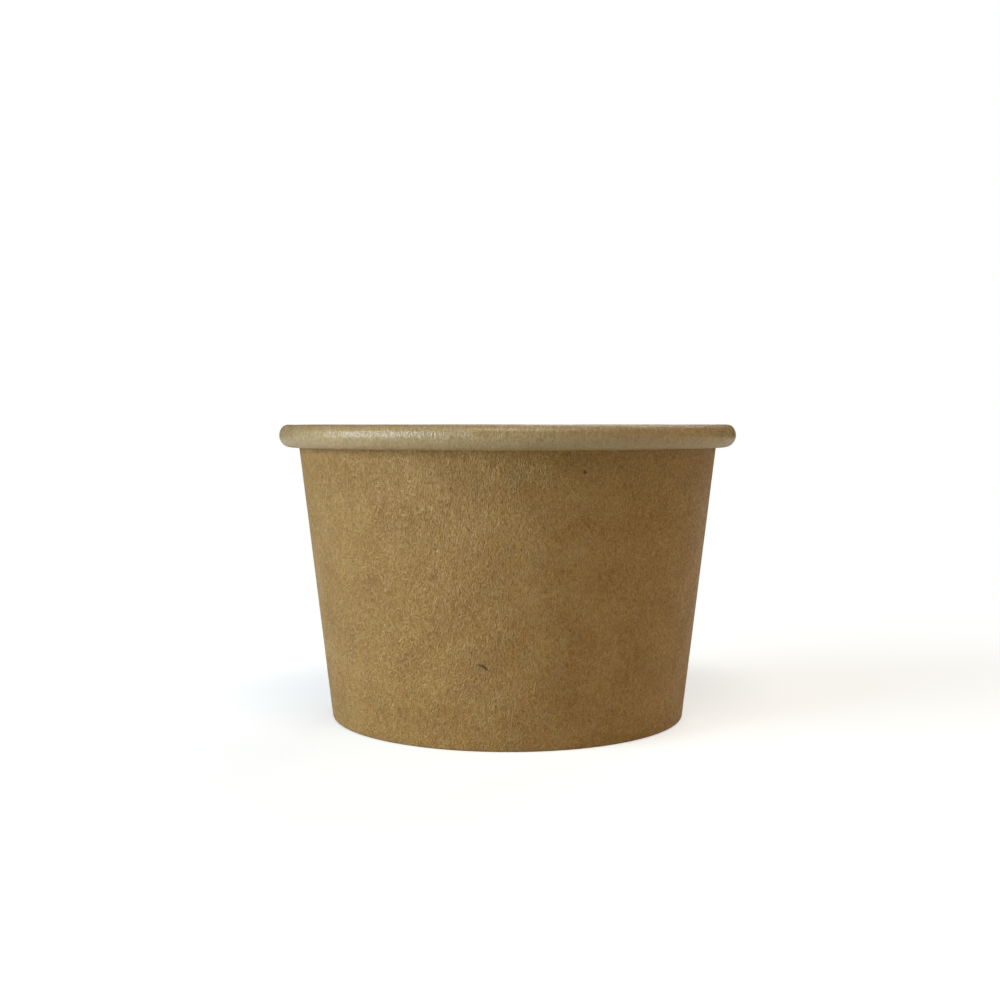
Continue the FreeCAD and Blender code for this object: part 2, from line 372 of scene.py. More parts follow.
WRAPPED_BOARD = "wrapped board"
SEAM_GAP = 0.015 * MM          # between the two plies of a seam
PRESSED_LENGTH = 1.5 * MM      # from a pressed bend to where the seam stands fully proud
SWELL_SIZE = 16 * MM           # the board's broad unevenness
RIPPLE_SIZE = 5 * MM           # and its finer one
SWELL_SHARE = 2.0              # their heights, as shares of the waviness
RIPPLE_SHARE = 0.7
SHARP_CORNER = 1.0             # radians between two faces shaded apart
WELD_DISTANCE = 0.001 * MM
FEWEST_FACES = 1000            # a board with fewer has not been built


def smooth_step(share):
    share = min(1, max(0, share))
    return share * share * (3 - 2 * share)


def section_mesh(name, section, pressed=None, rolled_in=None):
    """A section as points with attributes for the board's tree to read. The two plies of a seam
    are pressed together from the first to the last bend in pressed, and stand proud from a
    little way off them. The board's end inside the roll starts along the bend rolled_in."""
    mesh = bpy.data.meshes.new(name)
    mesh.from_pydata([(point.x, 0, point.y) for point, *_ in section], [], [])

    def span(first_bend, last_bend):
        inside = [along for _, _, along, passed in section
                  if first_bend <= passed - 0.5 <= last_bend]
        return inside[0], inside[-1]

    def add_attribute(attribute_name, kind, field, values):
        attribute = mesh.attributes.new(attribute_name, kind, "POINT")
        for item, value in zip(attribute.data, values):
            setattr(item, field, value)

    distances = [along for _, _, along, _ in section]
    proud = [1] * len(section)
    within_roll = [0] * len(section)
    if pressed:
        first, last = span(*pressed)
        proud = [smooth_step(max(first - along, along - last) / PRESSED_LENGTH)
                 for along in distances]
    if rolled_in:
        first, last = span(rolled_in, rolled_in)
        within_roll = [smooth_step((along - first) / (last - first)) for along in distances]
    sides = [left_of(heading) for _, heading, _, _ in section]
    add_attribute("lined side", "FLOAT_VECTOR", "vector", [(side.x, 0, side.y) for side in sides])
    add_attribute("along", "FLOAT", "value", distances)
    add_attribute("proud", "FLOAT", "value", proud)
    add_attribute("within roll", "FLOAT", "value", within_roll)
    return mesh


def wrapped_board_tree():
    """Wraps a flat slab of board round the pot's axis along a section, with its two ends lapped
    at the back. In the slab x counts the section's points, y runs from the inner ply's end at -1
    to the outer ply's end at 1, and z is the thickness, lined face up."""
    tree, given = new_group(WRAPPED_BOARD, "GeometryNodeTree", {
        "Section": "NodeSocketGeometry",
        "Board": "NodeSocketFloat",
        "Lap Width": "NodeSocketFloat",
        "Lap Ramp": "NodeSocketFloat",
        "Fan": "NodeSocketFloat",
        "Apex Distance": "NodeSocketFloat",
        "Waviness": "NodeSocketFloat",
        "Seed": "NodeSocketFloat",
        "Steps Round": "NodeSocketInt",
        "Kraft": "NodeSocketMaterial",
        "Lining": "NodeSocketMaterial",
        "Cut Edge": "NodeSocketMaterial",
    }, {"Board": "NodeSocketGeometry"})
    board, lap, ramp = given["Board"], given["Lap Width"], given["Lap Ramp"]

    count = tree.node("GeometryNodeAttributeDomainSize",
                      {"Geometry": given["Section"]}, component="MESH").outputs[0]
    last = tree.less(count, 1.0)
    slab = tree.node("GeometryNodeMeshCube", {
        "Size": tree.joined(last, 2.0, 2.0), "Vertices X": count,
        "Vertices Y": given["Steps Round"], "Vertices Z": 2}).outputs["Mesh"]
    x, y, z = tree.parts(tree.node("GeometryNodeInputPosition").outputs[0])
    index = tree.math("ROUND", tree.add(x, tree.times(last, 0.5)))

    def sampled(name, kind="FLOAT"):
        value = tree.node("GeometryNodeInputNamedAttribute", {"Name": name}, data_type=kind)
        return tree.node("GeometryNodeSampleIndex",
                         {"Geometry": given["Section"], "Value": value.outputs[0],
                          "Index": index}, data_type=kind).outputs[0]

    section_point = tree.node(
        "GeometryNodeSampleIndex",
        {"Geometry": given["Section"], "Index": index,
         "Value": tree.node("GeometryNodeInputPosition").outputs[0]},
        data_type="FLOAT_VECTOR").outputs[0]
    lined_side = sampled("lined side", "FLOAT_VECTOR")
    along = sampled("along")
    proud = sampled("proud")
    within_roll = sampled("within roll")

    radius = tree.parts(section_point)[0]
    half_turn = tree.add(pi, tree.math("DIVIDE", tree.times(lap, 0.5), radius))
    from_front = tree.times(y, half_turn)
    from_outer_end = tree.times(tree.less(1.0, y), half_turn, radius)
    from_inner_end = tree.times(tree.add(1.0, y), half_turn, radius)
    over = tree.ramp(from_outer_end, tree.add(lap, ramp), lap)
    under = tree.ramp(from_inner_end, tree.add(lap, ramp), lap)
    has_lap = tree.math("GREATER_THAN", lap, 0.0)
    over = tree.times(over, has_lap)
    under = tree.times(under, has_lap)

    # distances of the board's two faces from the section, towards the lined side
    pressed = tree.less(1.0, proud)
    climb = tree.times(tree.add(board, SEAM_GAP), over, proud)
    squeezed = tree.times(board, 0.5)
    kraft_over = tree.times(climb, -1.0)
    kraft_face = tree.add(kraft_over, tree.times(tree.add(squeezed, SEAM_GAP), under, pressed))
    lined_face = tree.less(tree.add(board, kraft_over), tree.times(squeezed, over, pressed))
    behind_seam = tree.times(tree.add(board, SEAM_GAP), within_roll,
                             tree.math("MAXIMUM", over, under))
    lined_share = tree.add(tree.times(z, 0.5), 0.5)
    offset = tree.less(tree.mix(lined_share, kraft_face, lined_face), behind_seam)

    def turned(vector):
        """The vector of the section's plane, turned round the axis to its place in the board."""
        return tree.node("ShaderNodeVectorRotate",
                         {"Vector": vector, "Angle": tree.less(from_front, pi / 2)},
                         rotation_type="Z_AXIS").outputs[0]

    seeded = tree.vector("ADD", turned(section_point), tree.joined(given["Seed"]))
    swell = tree.less(tree.noise(seeded, SWELL_SIZE, detail=1), 0.5)
    ripple = tree.less(tree.noise(seeded, RIPPLE_SIZE, detail=1), 0.5)
    wave = tree.times(given["Waviness"], proud,
                      tree.add(tree.times(swell, SWELL_SHARE),
                               tree.times(ripple, RIPPLE_SHARE)))
    place = tree.vector("ADD", section_point, tree.scaled(lined_side, tree.add(offset, wave)))

    # where the point lay in the flat blank: polar, round the apex of the cone
    blank_turn = tree.times(from_front, given["Fan"])
    blank_radius = tree.add(along, given["Apex Distance"])
    flat = tree.joined(tree.times(blank_radius, tree.math("SINE", blank_turn)),
                       tree.times(blank_radius, tree.math("COSINE", blank_turn)))

    facing, end_facing = (tree.parts(tree.node("GeometryNodeInputNormal").outputs[0])[axis]
                          for axis in (2, 1))
    closed_end = tree.times(tree.math("GREATER_THAN", tree.math("ABSOLUTE", end_facing), 0.5),
                            tree.less(1.0, has_lap))
    slab = tree.node("GeometryNodeDeleteGeometry", {"Geometry": slab, "Selection": closed_end},
                     domain="FACE").outputs[0]
    slab = tree.node("GeometryNodeSetShadeSmooth",
                     {"Geometry": slab, "Shade Smooth": True}, domain="FACE").outputs[0]
    corner = tree.math("GREATER_THAN", tree.node("GeometryNodeInputMeshEdgeAngle").outputs[0],
                       SHARP_CORNER)
    slab = tree.node("GeometryNodeSetShadeSmooth",
                     {"Geometry": slab, "Selection": corner, "Shade Smooth": False},
                     domain="EDGE").outputs[0]
    slab = tree.node("GeometryNodeStoreNamedAttribute",
                     {"Geometry": slab, "Name": FACING, "Value": facing},
                     data_type="FLOAT", domain="FACE").outputs[0]
    slab = tree.node("GeometryNodeStoreNamedAttribute",
                     {"Geometry": slab, "Name": BLANK, "Value": flat},
                     data_type="FLOAT_VECTOR", domain="POINT").outputs[0]
    shape = tree.node("GeometryNodeSetPosition",
                      {"Geometry": slab, "Position": turned(place)}).outputs[0]
    shape = tree.node("GeometryNodeMergeByDistance",
                      {"Geometry": shape, "Distance": WELD_DISTANCE}).outputs[0]
    shape = tree.node("GeometryNodeRealizeInstances", {"Geometry": shape}).outputs[0]

    side = tree.node("GeometryNodeInputNamedAttribute", {"Name": FACING},
                     data_type="FLOAT").outputs[0]
    # a board's three faces, by the range of the facing that each one has
    for material, low, high in (("Kraft", -2, -0.5), ("Cut Edge", -0.5, 0.5),
                                ("Lining", 0.5, 2)):
        selection = tree.times(tree.math("GREATER_THAN", side, low),
                               tree.math("LESS_THAN", side, high))
        shape = tree.node("GeometryNodeSetMaterial",
                          {"Geometry": shape, "Selection": selection,
                           "Material": given[material]}).outputs[0]
    tree.node("NodeGroupOutput", {"Board": shape})
    return tree.tree


def board_tree():
    return bpy.data.node_groups.get(WRAPPED_BOARD) or wrapped_board_tree()


def make_board(name, section, tree, inputs):
    """A board wrapped from a section's mesh by the tree, as a plain mesh object."""
    board = bpy.data.objects.new(name, section)
    bpy.context.scene.collection.objects.link(board)
    modifier = board.modifiers.new(WRAPPED_BOARD, "NODES")
    modifier.node_group = tree
    sockets = {item.name: item.identifier for item in tree.interface.items_tree
               if item.in_out == "INPUT"}
    for input_name, value in inputs.items():
        modifier[sockets[input_name]] = value
    depsgraph = bpy.context.evaluated_depsgraph_get()
    mesh = bpy.data.meshes.new_from_object(board.evaluated_get(depsgraph),
                                           preserve_all_data_layers=True, depsgraph=depsgraph)
    board.modifiers.remove(modifier)
    board.data = mesh
    mesh.name = name
    bpy.data.meshes.remove(section)
    if len(mesh.polygons) < FEWEST_FACES:
        raise RuntimeError(f"{name} came out with only {len(mesh.polygons)} faces")
    return board


# ---- materials ------------------------------------------------------------------------------

FIBRE_RELIEF = 0.086 * MM      # height of the board's relief
# The placed marks are splinters and a painted shade line under the roll; MARK_SHADE sets the
# colour of both.
MARK_SHADE = 0.6               # colour of a placed mark, as a share of the scattered splinters'
PALE_FIBRE = (0.62, 0.47, 0.25)
NOISE_SPREAD = (0.25, 0.75)    # the range that nearly all of a noise lies in

# Sizes of the board's patterns. Where there are two, the second is along the grain.
DRIFT_SIZE = 1.8 * MM          # the strands wander from side to side
DRIFT_REACH = 0.7 * MM
GRAIN_SIZE = (0.24 * MM, 0.36 * MM)
RELIEF_PATCH = 3.0 * MM        # the relief is stronger in some places than in others
CLOUD_SIZE = 6 * MM
MOTTLE_SIZE = (0.8 * MM, 1.3 * MM)
HUE_SIZE = 5.5 * MM

# Three layers of strands: the angle of each in radians, and the width and the length of its
# features in millimetres.
STRAND_LAYERS = ((-0.5, 0.27, 0.85), (0.08, 0.32, 1.10), (0.6, 0.25, 0.75))

# How much each pattern lightens and darkens the board. The hue changes its red alone.
CLOUD_SHADE = 0.60
MOTTLE_SHADE = 0.55
STRAND_SHADE = 0.50
GRAIN_SHADE = 0.78
HUE_SHADE = 0.10
DARKEST = 0.3                  # the patterns together don't go below this
USUAL_PALENESS = (0.7, 1.3)

# How strongly red, green and blue follow that paleness on the two faces.
KRAFT_CONTRAST = (0.9, 1.35, 3.2)
LINING_CONTRAST = (0.5, 0.6, 0.9)

# Roughness of the kraft face where it is dark and where it is pale, and of the lined face from
# its glossiest patches to its dullest. The stretched film round the roll is glossier still.
KRAFT_ROUGHNESS = (0.62, 0.34)
LINING_ROUGHNESS = (0.32, 0.46)
LINING_PATCH = 0.8 * MM
STRETCHED_GLOSS = 0.12
STRETCHED_WIDTH = (1.8 * MM, 0.5 * MM)
CUT_EDGE_ROUGHNESS = 0.8

# How far each kind of scattered mark is moved off, so that they don't fall on each other.
DULL_SHIFT = (0.05, 0.02, 0)
SPLINTER_SHIFT = (0.02, 0.07, 0)
SPECK_SHIFT = (0.03, 0.01, 0)

# Splinters on the front of the wall, in millimetres: how far right of the middle, how far up
# the wall, the length, the width, the angle in degrees from upright, the bend, and the depth of
# colour.
FRONT_SPLINTERS = (
    (-3.47, 12.5, 1.8, 0.50, -62, 0.12, 1.0),
    (-5.55, 32.4, 1.7, 0.22, -45, -0.12, 0.8),
    (11.1, 40.45, 0.62, 0.56, -20, 0.0, 1.0),
    (7.3, 16.1, 0.6, 0.2, -35, 0.1, 0.35),
    (-16.8, 16.6, 1.3, 0.16, -35, 0.3, 0.4),
    (-28.5, 40.6, 1.2, 0.14, 85, 0.1, 0.3),
)

# Painted shade: a dark line on the wall where it meets the roll, standing in for the roll's
# shadow.
UNDER_ROLL_PAINTED_SHADE = 0.42        # depth of the dark line where the wall meets the roll
UNDER_ROLL_WIDTH = 0.45 * MM
UNDER_ROLL_DROP = 0.1 * MM
LINING_RELIEF = 0.4            # the share of the fibres' relief that shows through the film
ROLL_STARTS = (-0.5 * MM, 1.5 * MM)     # from the brim, where the creases of the roll set in
PLEAT_SIZE = (0.70 * MM, 8 * MM)
PLEAT_HEIGHT = 0.07 * MM
DENT_SIZE = (2.6 * MM, 3.6 * MM)
DENT_HEIGHT = 0.22 * MM
GROOVE_AT = 1.8 * MM           # from the brim to the faint groove round the roll
GROOVE_WIDTH = 0.35 * MM
GROOVE_DEPTH = 0.03 * MM
TUFT_SIZE = 0.12 * MM
TUFT_HEIGHT = 0.04 * MM
TUFT_SHADE = (0.7, 1.15)


def stroke_group():
    """The mask of one bent stroke, thinning to its ends, in the plane of the blank."""
    group, given = new_group("stroke", "ShaderNodeTree", {
        "Place": "NodeSocketVector", "Centre": "NodeSocketVector", "Angle": "NodeSocketFloat",
        "Length": "NodeSocketFloat", "Width": "NodeSocketFloat", "Bend": "NodeSocketFloat",
    }, {"Mask": "NodeSocketFloat"})
    away = group.vector("SUBTRACT", given["Place"], given["Centre"])
    x, y, _ = group.parts(group.node("ShaderNodeVectorRotate",
                                     {"Vector": away, "Angle": given["Angle"]},
                                     rotation_type="Z_AXIS").outputs[0])
    run = group.math("DIVIDE", group.times(y, 2.0), given["Length"])
    square = group.times(run, run)
    across = group.math("ABSOLUTE", group.add(x, group.times(given["Bend"], square,
                                                             given["Length"])))
    half_width = group.times(given["Width"], 0.5, group.less(1.0, square))
    edge_from, edge_to = 1.3, 0.5               # in half widths, so that the edge is soft
    inside = group.ramp(group.math("DIVIDE", across, group.math("MAXIMUM", half_width, 1e-6)),
                        edge_from, edge_to)
    mask = group.times(inside, group.math("LESS_THAN", square, 1.0))
    group.node("NodeGroupOutput", {"Mask": mask})
    return group.tree


def scattered_group(stroke):
    """Bent strokes scattered about, no more than one to a cell."""
    group, given = new_group("scattered strokes", "ShaderNodeTree", {
        "Place": "NodeSocketVector", "Spacing": "NodeSocketFloat", "Share": "NodeSocketFloat",
        "Turn": "NodeSocketFloat", "Length": "NodeSocketFloat", "Width": "NodeSocketFloat",
        "Bend": "NodeSocketFloat",
    }, {"Mask": "NodeSocketFloat"})
    cells = group.node("ShaderNodeTexVoronoi", {
        "Vector": given["Place"], "Scale": group.math("DIVIDE", 1.0, given["Spacing"])},
        voronoi_dimensions="2D")
    pick, turn, size = group.parts(cells.outputs["Color"])
    stroke = group.group(
        stroke, place=given["Place"], centre=cells.outputs["Position"],
        angle=group.times(group.less(turn, 0.5), given["Turn"]),
        length=group.times(given["Length"], group.add(size, 0.5)),
        width=group.times(given["Width"], group.add(group.times(pick, 0.5), 0.75)),
        bend=group.times(given["Bend"], group.less(size, 0.5)))
    second_pick = group.math("FRACT", group.times(pick, 7.0))
    shown = group.math("LESS_THAN", second_pick, given["Share"])
    group.node("NodeGroupOutput", {"Mask": group.times(stroke[0], shown)})
    return group.tree


def fibre_group(shive):
    """The look of kraft board in the plane of its blank: a colour for the fibres, and the
    height of their relief in metres. The grain runs along y. Returns the group of one stroke
    too."""
    stroke = stroke_group()
    scattered = scattered_group(stroke)
    group, given = new_group("kraft fibres", "ShaderNodeTree", {
        "Place": "NodeSocketVector", "Colour": "NodeSocketColor", "Contrast": "NodeSocketVector",
        "Marks": "NodeSocketFloat",
    }, {"Colour": "NodeSocketColor", "Relief": "NodeSocketFloat", "Paleness": "NodeSocketFloat"})
    place = given["Place"]

    def centred(*noise, **settings):
        return group.less(group.noise(*noise, **settings), 0.5)

    drift = group.vector("SUBTRACT", group.noise(place, DRIFT_SIZE, kind=1), (0.5, 0.5, 0.5))
    slanted = group.vector("ADD", place, group.scaled(drift, DRIFT_REACH))
    crest_reach = 0.13           # a strand lies within this of a middling level of its noise
    usual, strength = 1.3, 0.4   # bring the sum of the layers about nought, and to size
    strands = 0.0
    for turn, width, length in STRAND_LAYERS:
        lying = group.node("ShaderNodeVectorRotate", {"Vector": slanted, "Angle": turn},
                           rotation_type="Z_AXIS").outputs[0]
        off_crest = group.math("ABSOLUTE", centred(lying, (width * MM, length * MM), detail=1))
        strands = group.add(strands, group.ramp(off_crest, crest_reach, 0.0))
    strands = group.times(group.less(strands, usual), strength)
    grain = centred(slanted, GRAIN_SIZE, detail=1.3)
    strong = group.noise(place, RELIEF_PATCH, detail=1)
    relief = group.times(group.add(strands, grain), group.add(group.times(strong, 2.0), 0.1))

    clouds = centred(place, CLOUD_SIZE, detail=3, roughness=0.6)
    mottle = centred(place, MOTTLE_SIZE, detail=3, roughness=0.7)
    hue = centred(place, HUE_SIZE, detail=2)
    paleness = group.add(1.0, group.times(clouds, CLOUD_SHADE),
                         group.times(mottle, MOTTLE_SHADE), group.times(strands, STRAND_SHADE),
                         group.times(grain, GRAIN_SHADE))
    tone = group.joined(*(group.math("POWER", group.math("MAXIMUM", paleness, DARKEST), contrast)
                          for contrast in group.parts(given["Contrast"])))
    warmth = group.joined(group.add(1.0, group.times(hue, HUE_SHADE)), 1.0, 1.0)
    colour = group.vector("MULTIPLY", group.vector("MULTIPLY", given["Colour"], tone), warmth)

    bright = group.group(scattered, place=slanted, spacing=3.1 * MM, share=0.6,
                         turn=2.2, length=2.6 * MM, width=0.11 * MM, bend=0.5)[0]
    dull = group.group(scattered, place=group.vector("ADD", slanted, DULL_SHIFT),
                       spacing=3.7 * MM, share=0.55, turn=2.6, length=2.4 * MM,
                       width=0.12 * MM, bend=0.6)[0]
    splinters = group.group(scattered, place=group.vector("ADD", place, SPLINTER_SHIFT),
                            spacing=8 * MM, share=0.4, turn=6.0, length=1.1 * MM,
                            width=0.17 * MM, bend=0.35)[0]
    specks = group.group(scattered, place=group.vector("ADD", place, SPECK_SHIFT),
                         spacing=6 * MM, share=0.5, turn=6.0, length=0.34 * MM,
                         width=0.24 * MM, bend=0.1)[0]
    for mask, depth, shade in ((bright, 0.14, PALE_FIBRE), (dull, 0.22, shive),
                               (splinters, 0.45, shive), (specks, 0.55, shive)):
        colour = group.mix_colour(group.times(mask, depth), colour, shade)
    # The marks input carries the placed splinters and the painted shade line under the roll, and
    # both take this colour.
    mark_and_painted_shade_colour = tuple(MARK_SHADE * part for part in shive)
    colour = group.mix_colour(given["Marks"], colour, mark_and_painted_shade_colour)
    height = group.times(group.add(relief, group.times(bright, 0.35),
                                   group.times(splinters, -0.2)), FIBRE_RELIEF)
    group.node("NodeGroupOutput", {"Colour": colour, "Relief": height, "Paleness": paleness})
    return group.tree, stroke


def new_material(name):
    material = bpy.data.materials.new(name)
    material.use_nodes = True
    material.node_tree.nodes.clear()
    return material, Wiring(material.node_tree)


def finish_material(wiring, colour, relief, roughness, constants=()):
    bump = wiring.node("ShaderNodeBump", {"Strength": 1.0, "Distance": 1.0, "Height": relief})
    inputs = {"Base Color": colour, "Roughness": roughness, "Normal": bump.outputs[0]}
    inputs.update(constants)
    shader = wiring.node("ShaderNodeBsdfPrincipled", inputs)
    wiring.node("ShaderNodeOutputMaterial", {"Surface": shader.outputs[0]})


def blank_place(wiring):
    return wiring.node("ShaderNodeAttribute", attribute_name=BLANK).outputs["Vector"]


def kraft_material(fibres, stroke, sizes, colours):
    """The matt outside face of the board, with the splinters seen on the pot's front."""
    material, wiring = new_material("kraft_face")
    place = blank_place(wiring)
    foot = sizes.foot_radius / sin(sizes.lean)
    reach = wiring.node("ShaderNodeVectorMath", {0: place}, operation="LENGTH").outputs[1]
    # A painted shade line along the wall just under the roll, where the roll's overhang shades it;
    # the splinters join the same mask.
    under_roll = foot + (sizes.height - sizes.rim_depth - UNDER_ROLL_DROP) / cos(sizes.lean)
    off_roll = wiring.math("ABSOLUTE", wiring.less(reach, under_roll))
    marks = wiring.ramp(off_roll, UNDER_ROLL_WIDTH, 0.0, 0.0, UNDER_ROLL_PAINTED_SHADE)
    for right, up, length, width, slant, bend, depth in FRONT_SPLINTERS:
        mark = wiring.group(stroke, place=place, centre=(right * MM, foot + up * MM, 0),
                            angle=radians(slant), length=length * MM, width=width * MM,
                            bend=bend)[0]
        marks = wiring.add(marks, wiring.times(mark, depth))
    colour, relief, paleness = wiring.group(fibres, place=place, colour=(*colours.kraft, 1),
                                            contrast=KRAFT_CONTRAST, marks=marks)
    roughness = wiring.ramp(paleness, *USUAL_PALENESS, *KRAFT_ROUGHNESS)
    finish_material(wiring, colour, relief, roughness, {
        "Specular IOR Level": 0.68, "Sheen Weight": 0.05, "Sheen Roughness": 0.5})
    return material


def lining_material(fibres, sizes, colours):
    """The lined face of the board: a clear film over the fibres, finely pleated in the roll."""
    material, wiring = new_material("lined_face")
    place = blank_place(wiring)
    colour, relief, _ = wiring.group(fibres, place=place, colour=(*colours.lining, 1),
                                     contrast=LINING_CONTRAST, marks=0.0)
    brim = (sizes.foot_radius + sizes.height * tan(sizes.lean)) / sin(sizes.lean)
    right, away, _ = wiring.parts(place)
    reach = wiring.node("ShaderNodeVectorMath", {0: place}, operation="LENGTH").outputs[1]
    round_rim = wiring.times(wiring.math("ARCTAN2", right, away), brim)
    pleats = wiring.noise(wiring.joined(round_rim, reach), PLEAT_SIZE, detail=1)
    in_roll = wiring.ramp(reach, *(brim + distance for distance in ROLL_STARTS))
    dents = wiring.noise(place, DENT_SIZE, detail=1)
    off_groove = wiring.math("ABSOLUTE", wiring.less(reach, brim + GROOVE_AT))
    groove = wiring.ramp(off_groove, GROOVE_WIDTH, 0.0)
    creases = wiring.add(wiring.times(pleats, PLEAT_HEIGHT), wiring.times(dents, DENT_HEIGHT),
                         wiring.times(groove, -GROOVE_DEPTH))
    relief = wiring.add(wiring.times(relief, LINING_RELIEF), wiring.times(creases, in_roll))
    roughness = wiring.ramp(wiring.noise(place, LINING_PATCH), *NOISE_SPREAD, *LINING_ROUGHNESS)
    stretched = wiring.ramp(off_groove, *STRETCHED_WIDTH)
    roughness = wiring.less(roughness, wiring.times(stretched, STRETCHED_GLOSS))
    finish_material(wiring, colour, relief, roughness, {"Specular IOR Level": 0.55})
    return material


def cut_edge_material(colours):
    """Loose pale fibres where the board is cut."""
    material, wiring = new_material("cut_edge")
    place = wiring.node("ShaderNodeTexCoord").outputs["Object"]
    tufts = wiring.noise(place, TUFT_SIZE, detail=4)
    shade = wiring.ramp(tufts, *NOISE_SPREAD, *TUFT_SHADE)
    colour = wiring.scaled(wiring.joined(*colours.cut_edge), shade)
    finish_material(wiring, colour, wiring.times(tufts, TUFT_HEIGHT), CUT_EDGE_ROUGHNESS)
    return material


def board_materials(sizes, colours):
    """The three materials of a board, made once for both pieces."""
    names = {"Kraft": "kraft_face", "Lining": "lined_face", "Cut Edge": "cut_edge"}
    if "kraft_face" not in bpy.data.materials:
        fibres, stroke = fibre_group(colours.shive)
        kraft_material(fibres, stroke, sizes, colours)
        lining_material(fibres, sizes, colours)
        cut_edge_material(colours)
    return {socket: bpy.data.materials[name] for socket, name in names.items()}


# ---- the stage ------------------------------------------------------------------------------

LAMP_AIM = (0, 0, 0.025)       # the middle of the pot
FLOOR_REACH = 3.0
FLOOR_FADE = (0.06, 0.20)      # distances over which the floor fades to white for the camera
FLOOR_COLOUR = (0.8, 0.8, 0.8)
FLOOR_SEEN = (0.70, 0.76, 0.86)
FLOOR_LIFT = (0.98, 0.99, 1.0)
FLOOR_LIFT_STRENGTH = 0.46
ROOM_COLOUR = (1, 0.97, 0.92)
WHITE = (1, 1, 1)


def add_lamp(name, watts, place, size, colour, reflected=True):
    """A soft rectangular lamp. One that isn't reflected lights the board but doesn't show in its
    gloss."""
    lamp = bpy.data.lights.new(name, "AREA")
    lamp.shape = "RECTANGLE"
    lamp.size, lamp.size_y = size
    lamp.energy = watts
    lamp.color = colour
    holder = bpy.data.objects.new(name, lamp)
    holder.location = place
    aim = Vector(LAMP_AIM) - holder.location
    holder.rotation_euler = aim.to_track_quat("-Z", "Y").to_euler()
    holder.visible_glossy = reflected
    bpy.context.scene.collection.objects.link(holder)


def add_camera(stage):
    camera = bpy.data.cameras.new("camera")
    camera.lens = stage.lens
    camera.clip_start = 0.01
    holder = bpy.data.objects.new("camera", camera)
    holder.location = (0, -stage.distance, stage.eye_height)
    turn = (Matrix.Rotation(-stage.look_aside, 3, "Z")
            @ Matrix.Rotation(pi / 2 - stage.look_down, 3, "X")
            @ Matrix.Rotation(stage.tilt, 3, "Z"))
    holder.rotation_euler = turn.to_euler()
    bpy.context.scene.collection.objects.link(holder)
    bpy.context.scene.camera = holder


def add_floor():
    """A pale floor that keeps the pot's shadow, and fades to plain white away from it. Only the
    camera sees it lifted towards white: the pot is lit by it as by a plain pale floor."""
    corners = [(side * FLOOR_REACH, depth * FLOOR_REACH, 0)
               for side, depth in ((-1, -1), (1, -1), (1, 1), (-1, 1))]
    mesh = bpy.data.meshes.new("floor")
    mesh.from_pydata(corners, [], [(0, 1, 2, 3)])
    floor = bpy.data.objects.new("floor", mesh)
    bpy.context.scene.collection.objects.link(floor)
    material, wiring = new_material("floor_paper")
    place = wiring.node("ShaderNodeTexCoord").outputs["Object"]
    distance = wiring.node("ShaderNodeVectorMath", {0: place}, operation="LENGTH").outputs[1]
    fade = wiring.ramp(distance, *FLOOR_FADE)
    seen = wiring.node("ShaderNodeLightPath").outputs["Is Camera Ray"]
    matt = wiring.node("ShaderNodeBsdfDiffuse", {"Color": FLOOR_COLOUR}).outputs[0]
    shown = wiring.node("ShaderNodeBsdfDiffuse", {"Color": FLOOR_SEEN}).outputs[0]
    lift = wiring.node("ShaderNodeEmission",
                       {"Color": FLOOR_LIFT, "Strength": FLOOR_LIFT_STRENGTH}).outputs[0]
    white = wiring.node("ShaderNodeEmission", {"Color": WHITE, "Strength": 1.0}).outputs[0]
    near = wiring.node("ShaderNodeAddShader", {0: shown, 1: lift}).outputs[0]
    near = wiring.node("ShaderNodeMixShader", {0: seen, 1: matt, 2: near}).outputs[0]
    paper = wiring.node("ShaderNodeMixShader",
                        {0: wiring.times(fade, seen), 1: near, 2: white}).outputs[0]
    wiring.node("ShaderNodeOutputMaterial", {"Surface": paper})
    mesh.materials.append(material)


def set_world(ambient):
    """A faint even light from all round, which the camera sees as plain white."""
    world = bpy.data.worlds.new("world")
    world.use_nodes = True
    world.node_tree.nodes.clear()
    wiring = Wiring(world.node_tree)
    seen = wiring.node("ShaderNodeLightPath").outputs["Is Camera Ray"]
    room = wiring.node("ShaderNodeBackground", {"Color": ROOM_COLOUR, "Strength": ambient})
    backdrop = wiring.node("ShaderNodeBackground", {"Color": WHITE, "Strength": 1.0})
    shown = wiring.node("ShaderNodeMixShader",
                        {0: seen, 1: room.outputs[0], 2: backdrop.outputs[0]})
    wiring.node("ShaderNodeOutputWorld", {"Surface": shown.outputs[0]})
    bpy.context.scene.world = world


# ---- operators ------------------------------------------------------------------------------

def stand_for(piece, node):
    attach(piece, BODY)
    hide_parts(node)


class POT_OT_side_wall(Operator):
    """Wrap the wall, with its lapped seam, folded foot and rolled rim"""

    bl_idname = "pot.side_wall"
    bl_label = "Wrap Side Wall"

    def execute(self, context):
        sizes, colours = context.scene.pot_sizes, context.scene.board_colours
        section = wall_section(sizes)
        foot_end = max(along for _, _, along, passed in section
                       if passed - 0.5 <= FOOT_BENDS[1])
        inputs = {
            "Board": sizes.board,
            "Lap Width": sizes.lap_width,
            "Lap Ramp": sizes.lap_ramp,
            "Fan": sin(sizes.lean),
            "Apex Distance": sizes.foot_radius / sin(sizes.lean) - foot_end,
            "Waviness": sizes.waviness,
            "Seed": 0.3,
            "Steps Round": sizes.steps_round,
        }
        inputs.update(board_materials(sizes, colours))
        mesh = section_mesh("wall section", section, pressed=FOOT_BENDS,
                            rolled_in=ROLL_END_BEND)
        wall = make_board("pot_wall", mesh, board_tree(), inputs)
        stand_for(wall, "side_wall")
        return {"FINISHED"}


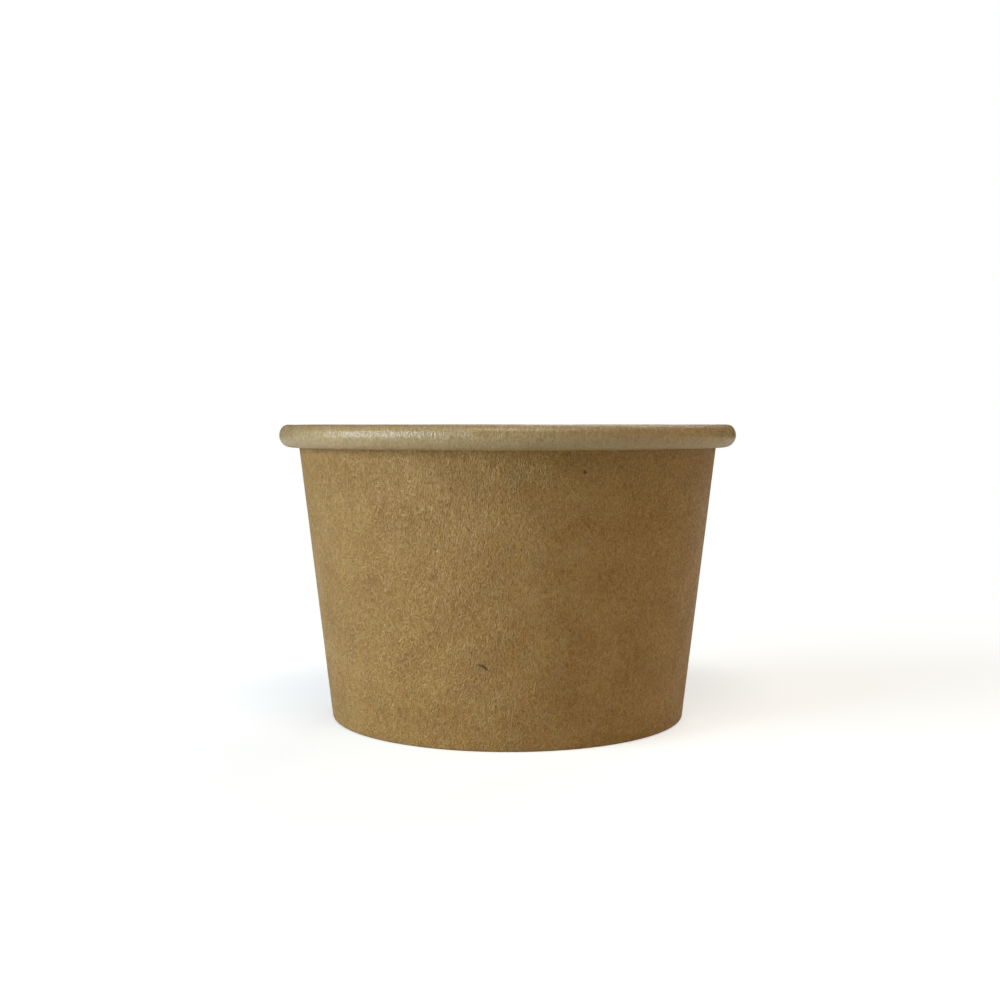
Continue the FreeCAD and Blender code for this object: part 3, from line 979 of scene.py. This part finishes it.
class POT_OT_base_disc(Operator):
    """Press the base, with its flat floor and turned-down flange"""

    bl_idname = "pot.base_disc"
    bl_label = "Press Base"

    def execute(self, context):
        sizes, colours = context.scene.pot_sizes, context.scene.board_colours
        inputs = {
            "Board": sizes.board,
            "Lap Width": 0.0,
            "Lap Ramp": sizes.lap_ramp,
            "Fan": 1.0,
            "Apex Distance": 0.0,
            "Waviness": sizes.waviness,
            "Seed": 0.7,
            "Steps Round": sizes.steps_round,
        }
        inputs.update(board_materials(sizes, colours))
        mesh = section_mesh("base section", base_section(sizes))
        base = make_board("pot_base", mesh, board_tree(), inputs)
        stand_for(base, "base_disc")
        return {"FINISHED"}


class POT_OT_stage(Operator):
    """Set up the pale floor, the soft lamps and the camera"""

    bl_idname = "pot.stage"
    bl_label = "Set Up Stage"

    def execute(self, context):
        stage = context.scene.pot_stage
        add_lamp("window", stage.window, place=(-0.807, -0.351, 0.21), size=(0.65, 0.60),
                 colour=(0.83, 0.95, 1.0))
        add_lamp("overhead", stage.overhead, place=(0.05, -0.38, 0.84), size=(0.50, 0.32),
                 colour=(1.0, 0.85, 0.63))
        add_lamp("fill", stage.fill, place=(0.84, 0.08, 0.33), size=(0.50, 0.45),
                 colour=(1.0, 0.80, 0.48), reflected=False)
        add_lamp("back", stage.back, place=(0.25, 0.60, 0.68), size=(0.60, 0.45),
                 colour=(1.0, 0.95, 0.88))
        set_world(stage.ambient)
        add_floor()
        add_camera(stage)
        context.scene.view_settings.view_transform = "Standard"
        return {"FINISHED"}


class POT_PT_panel(Panel):
    """The pot's sizes and colours, and the steps that make it"""

    bl_idname = "POT_PT_panel"
    bl_label = "Portion Pot"
    bl_space_type = "VIEW_3D"
    bl_region_type = "UI"
    bl_category = "Pot"

    def draw(self, context):
        for settings in (context.scene.pot_sizes, context.scene.board_colours,
                         context.scene.pot_stage):
            box = self.layout.box()
            for name in settings.bl_rna.properties.keys():
                if name not in ("rna_type", "name"):
                    box.prop(settings, name)
        for operator in STEPS:
            self.layout.operator(operator.bl_idname)


STEPS = (POT_OT_side_wall, POT_OT_base_disc, POT_OT_stage)
SETTINGS = {"pot_sizes": PotSizes, "board_colours": BoardColours, "pot_stage": StageSettings}
CLASSES = (*SETTINGS.values(), *STEPS, POT_PT_panel)


def register():
    for new_class in CLASSES:
        bpy.utils.register_class(new_class)
    for name, settings in SETTINGS.items():
        setattr(bpy.types.Scene, name, PointerProperty(type=settings))


def unregister():
    for name in SETTINGS:
        delattr(bpy.types.Scene, name)
    for old_class in reversed(CLASSES):
        bpy.utils.unregister_class(old_class)


def main():
    register()
    bpy.ops.pot.side_wall()
    bpy.ops.pot.base_disc()
    bpy.ops.pot.stage()


if __name__ == "__main__":
    main()
